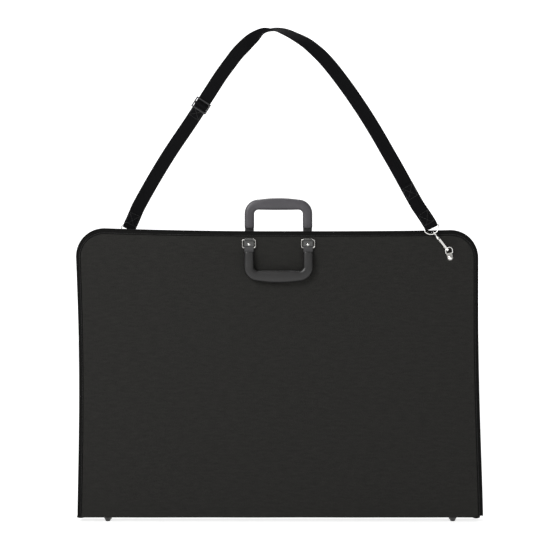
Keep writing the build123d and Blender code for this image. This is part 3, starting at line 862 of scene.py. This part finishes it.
# ---- feet -----------------------------------------------------------------------------------
SCREW_PROFILE = (
    # radius and height in mm, from the dimple in the head up to the point
    (0.35, 1.35), (0.5, 1.0), (2.0, 1.02), (2.4, 1.3), (2.4, 2.4), (1.5, 2.5), (1.5, 11.0), (0.3, 11.4),
)
FOOT_PROFILE = (
    # radius and height in mm, down the outside, across the tread and up the screw's hole
    (9.35, 9.0), (9.3, 8.3), (8.6, 7.7), (7.4, 6.0), (6.2, 3.6), (5.5, 1.6), (5.1, 0.6),
    (4.6, 0.12), (4.3, 0.0), (2.7, 0.0), (2.5, 0.2), (2.5, 2.4), (1.6, 2.4), (1.6, 9.0),
)


def screw(x, y):
    """A foot's fixing screw: round head with a dimple, and a plain shank."""
    return tube([upright_ring(x, y, radius * MM, z * MM, 24) for radius, z in SCREW_PROFILE])


def make_feet():
    """Moulded feet: a flange that seats on the spine, a waisted cone, a rounded tread."""
    screws = []
    for depth_name in SIDES:
        for side_name in ("left", "right"):
            node = f"foot_{depth_name}_{side_name}"
            low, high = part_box(node)
            x, y = (low[0] + high[0]) / 2 + FOOT_SHIFT, (low[1] + high[1]) / 2
            rings = [upright_ring(x, y, radius * MM, z * MM, 40) for radius, z in FOOT_PROFILE]
            new_piece(f"{node}_moulding", *tube(rings, closed=True), "foot", "spine", (node,))
            screws.append(screw(x, y))
    new_piece("foot_screw_set", *joined(screws), "steel", "spine", ("foot_screws",))


# ---- handles --------------------------------------------------------------------------------
LEG_WIDTH = 21.8 * MM
GRIP_WIDTH = 27 * MM
GRIP_TURN_RADIUS = 22 * MM
GRIP_CROWN = 1.3 * MM
GRIP_ROUNDING = 2.7


def handle_line():
    """The middle line of the hanging handle's grip, with its inward normal and local width."""
    leg = LEG_WIDTH
    grip = GRIP_WIDTH
    leg_x = grip_high[0] - leg / 2
    top = grip_high[2]
    grip_z = grip_low[2] + grip / 2
    turn_radius = GRIP_TURN_RADIUS
    corner_steps = 12
    line = []
    rows = 14
    for i in range(rows):
        z = top + (grip_z + turn_radius - top) * i / rows
        line.append((Vector((-leg_x, 0, z)), Vector((1, 0, 0)), leg))
    for i in range(corner_steps + 1):
        turn = radians(90) * i / corner_steps
        centre_z = grip_z + turn_radius + GRIP_CROWN * i / corner_steps
        centre = Vector((-leg_x + turn_radius, 0, centre_z))
        normal = Vector((cos(turn), 0, sin(turn)))
        width = leg + (grip - leg) * 0.3 * smoothstep(i / corner_steps)
        line.append((centre - normal * turn_radius, normal, width))
    columns = 26
    span = 2 * (leg_x - turn_radius)
    for i in range(1, columns):
        share = i / columns
        x = -leg_x + turn_radius + span * share
        crown = 1 - abs(2 * share - 1) ** 2.2
        z = grip_z + GRIP_CROWN * (1 - crown)
        line.append((Vector((x, 0, z)), Vector((0, 0, 1)), leg + (grip - leg) * (0.3 + 0.7 * crown)))
    half = line[:rows + corner_steps + 1]
    mirrored = [(Vector((-p.x, 0, p.z)), Vector((-n.x, 0, n.z)), w) for p, n, w in half]
    return line + mirrored[::-1]


def handle_shape():
    """Grip cover: a rounded box section carried round the handle's line, with softened ends."""
    back, front = grip_high[1], grip_low[1]
    depth = back - front
    middle = (back + front) / 2
    line = handle_line()
    last = len(line) - 1
    rings = []
    for index, (point, normal, width) in enumerate(line):
        shrink = 0.95 if index in (0, last) else 1.0
        power = 2 / GRIP_ROUNDING
        ring = []
        for i in range(28):
            turn = 2 * pi * i / 28
            c, s = cos(turn), sin(turn)
            u = abs(c) ** power * (1 if c > 0 else -1)
            v = abs(s) ** power * (1 if s > 0 else -1)
            deep = Vector((0, middle + v * depth / 2 * shrink, 0))
            ring.append(point + normal * (u * width / 2 * shrink) + deep)
        rings.append(ring)
    return tube(rings)


def make_handles():
    """The two moulded grips: the front one hanging, the back one the same grip upside down in a lighter
    copy of its material, as painted light.
    """
    verts, faces = handle_shape()
    new_piece("front_handle_grip", verts, faces, "grip", "front_handle", ("front_handle_cover",))
    low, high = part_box("back_handle_cover")
    raised = [(x, y - grip_low[1] + low[1], high[2] - (z - grip_low[2])) for x, y, z in verts]
    flipped = [tuple(reversed(face)) for face in faces]
    replaced = ("back_handle_cover",)
    # The raised grip wears the lighter copy of the grip material: painted light.
    new_piece("back_handle_grip", raised, flipped, "grip_painted_light", "back_handle", replaced, slot="grip")


# ---- strap ----------------------------------------------------------------------------------
STRAP_WIDTH = 30 * MM
STRAP_THICKNESS = 1.8 * MM
STRAP_LAYER = 2.3 * MM
STRAP_BAR = 1.25 * MM
STRAP_END = Vector((335.45, -31.11, 648.63)) * MM
STRAP_UP = Vector((-0.4446, 0, 0.8957))
STRAP_RISE = 435.4 * MM
STRAP_LEAD = 12 * MM
ADJUSTER_AT = 14.62
RIGHT_SEAM_AT = 2.4
TURN_AT = 10
TOP_LIFT = 2.5 * MM
BAR_LOOP_TURN = radians(205)
BAR_LOOP_START = radians(12)
WRAP_DEPTH = -4.6 * MM
WRAP_HALF_LENGTH = 3.1 * MM
WRAP_HALF_DEPTH = 2.3 * MM
WRAP_ROUNDING = 0.6
STRAP_ARCH = (
    # shares of the end's x, of its y and of the rise, and the twist in degrees, right to left
    (0.906, 0.916, 0.118, 0), (0.731, 0.707, 0.3615, 0), (0.546, 0.482, 0.6049, 0),
    (0.434, 0.354, 0.7289, 0), (0.314, 0.257, 0.8484, 6), (0.22, 0.177, 0.917, 20),
    (0.115, 0.096, 0.969, 40), (0.0149, 0.016, 0.998, 56), (-0.0775, 0, 1, 90),
    (-0.152, -0.064, 0.973, 134), (-0.2444, -0.161, 0.915, 170), (-0.316, -0.257, 0.8484, 180),
    (-0.4263, -0.354, 0.7289, 180), (-0.566, -0.514, 0.5635, 180), (-0.744, -0.707, 0.3615, 180),
    (-0.93, -0.916, 0.118, 180),
)


def strap_line():
    """Places and twists along the strap, from the right D-ring to the left one."""
    lead = STRAP_END + STRAP_UP * STRAP_LEAD
    places = [STRAP_END, lead]
    twists = [0, 0]
    for x, y, climb, twist in STRAP_ARCH:
        places.append(Vector((x * STRAP_END.x, y * STRAP_END.y, STRAP_END.z + climb * STRAP_RISE)))
        twists.append(twist)
    places += [Vector((-lead.x, -lead.y, lead.z)), Vector((-STRAP_END.x, -STRAP_END.y, STRAP_END.z))]
    twists += [180, 180]
    return places, [Vector((twist, 0, 0)) for twist in twists]


STRAP_PLACES, STRAP_TWISTS = strap_line()
STRAP_LAST = len(STRAP_PLACES) - 1


def spline(points, t):
    """Smooth curve through a list of vectors at the strap's places, t counted in list places."""
    i = max(0, min(STRAP_LAST - 1, int(t)))
    f = t - i
    b, c = points[i], points[i + 1]
    gap = (STRAP_PLACES[i + 1] - STRAP_PLACES[i]).length
    slope_b = slope_c = c - b
    if i > 0:
        before = (STRAP_PLACES[i] - STRAP_PLACES[i - 1]).length
        slope_b = (c - points[i - 1]) * (gap / (gap + before))
    if i < STRAP_LAST - 1:
        after = (STRAP_PLACES[i + 2] - STRAP_PLACES[i + 1]).length
        slope_c = (points[i + 2] - b) * (gap / (gap + after))
    g = f * f
    h = g * f
    return b * (2 * h - 3 * g + 1) + slope_b * (h - 2 * g + f) + c * (3 * g - 2 * h) + slope_c * (h - g)


def strap_frame(t):
    """Middle point of the webbing at t, with its across, through and along directions."""
    low, high = max(0.0, t - 0.02), min(STRAP_LAST, t + 0.02)
    along = (spline(STRAP_PLACES, high) - spline(STRAP_PLACES, low)).normalized()
    twist = radians(spline(STRAP_TWISTS, t).x)
    front = Vector((0, -1, 0))
    front = (front - along * front.dot(along)).normalized()
    across = front.cross(along) * cos(twist) + front * sin(twist)
    lift = Vector((0, 0, TOP_LIFT * exp(-((t - TURN_AT + 0.7) / 1.6) ** 2)))
    return spline(STRAP_PLACES, t) + lift, across, along.cross(across), along


def web_ring(centre, across, through, offset, width, cup=0.0, thickness=STRAP_THICKNESS):
    """One section of webbing: a flat band with rolled edges, cupped a little across its width."""
    half = width / 2
    edge = thickness / 2
    columns = 10
    ring = []
    for sign in (1, -1):
        for i in range(columns + 1):
            share = (2 * i / columns - 1) * sign
            thin = edge * (1.0 if abs(share) < 0.85 else 0.82 if abs(share) < 0.95 else 0.35)
            bend = cup * (share * share - 0.4)
            ring.append(centre + across * (half * share) + through * (offset + bend - sign * thin))
    return ring


def strap_wobble(t):
    """Small unevenness of hung webbing: cupping, deepest where it turns over, and sideways drift."""
    cup = 1.1 * MM * noise.noise(Vector((t * 0.9, 2.7, 0)))
    cup += 6.5 * MM * exp(-((t - TURN_AT) / 0.8) ** 2)
    drift = 0.9 * MM * noise.noise(Vector((t * 1.3, 9.1, 0)))
    return cup, drift


def web(start, end, offset, step=0.06):
    """Webbing along the strap's line between two places on it."""
    rings = []
    count = max(2, ceil((end - start) / step))
    for i in range(count + 1):
        t = start + (end - start) * i / count
        centre, across, through, along = strap_frame(t)
        cup, drift = strap_wobble(t)
        calm = smoothstep(min(t, STRAP_LAST - t) / 0.5)
        spot = centre + across * (drift * calm)
        rings.append(web_ring(spot, across, through, offset, STRAP_WIDTH, cup * calm))
    return rings


def loop_rings(centre, across, through, along, front):
    """Webbing from the front layer, down round a D-ring's bar and up again to the main layer."""
    radius = STRAP_BAR + STRAP_THICKNESS / 2
    width = STRAP_WIDTH - 0.6 * MM
    steps = 14
    rings = []
    for i in range(steps + 1):
        turn = BAR_LOOP_TURN * i / steps - BAR_LOOP_START
        out = through * front * cos(turn) - along * sin(turn)
        rings.append(web_ring(centre + out * radius, across, out, 0.0, width))
    return rings


def strap_stitches(t_low, t_high, offset):
    """A sewn box, with a cross inside, through doubled webbing."""

    def spot(t, share):
        centre, across, through, along = strap_frame(t)
        cup, drift = strap_wobble(t)
        calm = smoothstep(min(t, STRAP_LAST - t) / 0.5)
        bend = cup * calm * (share * share * 0.64 - 0.4)
        lift = offset + (STRAP_THICKNESS / 2) * (1 if offset > 0 else -1)
        return centre + across * (drift * calm + share * 0.8 * STRAP_WIDTH / 2) + through * (lift + bend)

    def line(first, last):
        steps = 16
        points = []
        for i in range(steps + 1):
            t = first[0] + (last[0] - first[0]) * i / steps
            points.append(spot(t, first[1] + (last[1] - first[1]) * i / steps))
        return points

    corners = [(t_low, -1), (t_high, -1), (t_high, 1), (t_low, 1)]
    runs = [line(corners[i], corners[(i + 1) % 4]) for i in range(4)]
    runs += [line(corners[0], corners[2]), line(corners[1], corners[3])]
    middle = strap_frame((t_low + t_high) / 2)
    lift = middle[2] * (1 if offset > 0 else -1)
    return joined([seam(run, lift, pitch=2.6 * MM, length=2.1 * MM, radius=0.3 * MM) for run in runs])


def adjuster_wrap():
    """The webbing's short turn round the adjuster's middle bar."""
    centre, across, through, along = strap_frame(ADJUSTER_AT)
    steps = 28
    wrap = []
    for i in range(steps):
        turn = 2 * pi * i / steps
        c, s = cos(turn), sin(turn)
        reach_along = WRAP_HALF_LENGTH * abs(c) ** WRAP_ROUNDING * (1 if c > 0 else -1)
        reach_through = WRAP_HALF_DEPTH * abs(s) ** WRAP_ROUNDING * (1 if s > 0 else -1)
        out = (along * c + through * s).normalized()
        spot = centre + along * reach_along + through * (WRAP_DEPTH + reach_through)
        wrap.append(web_ring(spot, across, out, 0.0, STRAP_WIDTH))
    return tube(wrap, closed=True)


def make_strap():
    """Shoulder strap: long webbing, its two looped ends, the wrap at the adjuster, and the sewing."""
    last = STRAP_LAST
    trim = 3.0 * MM / STRAP_LEAD
    long_web = tube(web(trim, last - trim, 0.0))
    new_piece("strap_long_web", *long_web, "webbing", "strap", ("strap_webbing",))

    centre, across, through, along = strap_frame(0)
    loop = loop_rings(centre, across, through, along, 1)
    tail = web(0.02, RIGHT_SEAM_AT, STRAP_LAYER)
    right = joined([tube(loop), tube(tail)])
    new_piece("strap_right_tail", *right, "webbing", "strap", ("strap_end_right",))

    centre, across, through, along = strap_frame(last)
    loop = loop_rings(centre, across, through, -along, -1)
    tail = web(ADJUSTER_AT + 0.05, last - 0.02, -STRAP_LAYER)
    left = joined([tube(loop), tube(tail), adjuster_wrap()])
    new_piece("strap_left_tail", *left, "webbing", "strap", ("strap_end_left",))

    boxes = [
        strap_stitches(RIGHT_SEAM_AT - 0.27, RIGHT_SEAM_AT - 0.04, STRAP_LAYER),
        strap_stitches(0.8, 1.5, STRAP_LAYER),
        strap_stitches(last - 1.5, last - 0.8, -STRAP_LAYER),
        strap_stitches(ADJUSTER_AT + 0.1, ADJUSTER_AT + 0.36, -STRAP_LAYER),
    ]
    new_piece("strap_sewing", *joined(boxes), "thread", "strap", slot="webbing")


# ---- finish ---------------------------------------------------------------------------------
# Plated parts dressed in darkened copies of the nickel: painted shade on the chapes inside the handle
# rings, painted dark reflection on the rings and the anchor chape.
SHADE_PAINTED_PLATING = ("handle_chapes",)
DARK_REFLECTION_PLATING = ("anchor_chape", "handle_ring_left", "handle_ring_right")


def dress_frame():
    """Give every CAD node the material of its slot; the handle chapes a dark copy of the nickel as painted
    shade and dark reflection, the anchor chape and rings a half-dark copy as painted dark reflection.
    """
    slots = {row["node"]: row["material_slot"] for row in frame["record"]["subparts"]}
    for name, node in frame["nodes"].items():
        finish = slots[name]
        if name.endswith(SHADE_PAINTED_PLATING):
            finish = "nickel_painted_shade"
        if name.endswith(DARK_REFLECTION_PLATING):
            finish = "nickel_painted_dark_reflection"
        material = MATERIALS[finish]
        mesh = node.data
        if not mesh.materials:
            mesh.materials.append(material)
        for slot in node.material_slots:
            slot.material = material


make_camera()
make_studio()
make_panels()
make_binding_stitches()
make_inside()
make_zip()
make_spine_sleeve()
make_end_tucks()
make_hinge_cloths()
make_feet()
make_handles()
make_strap()
dress_frame()
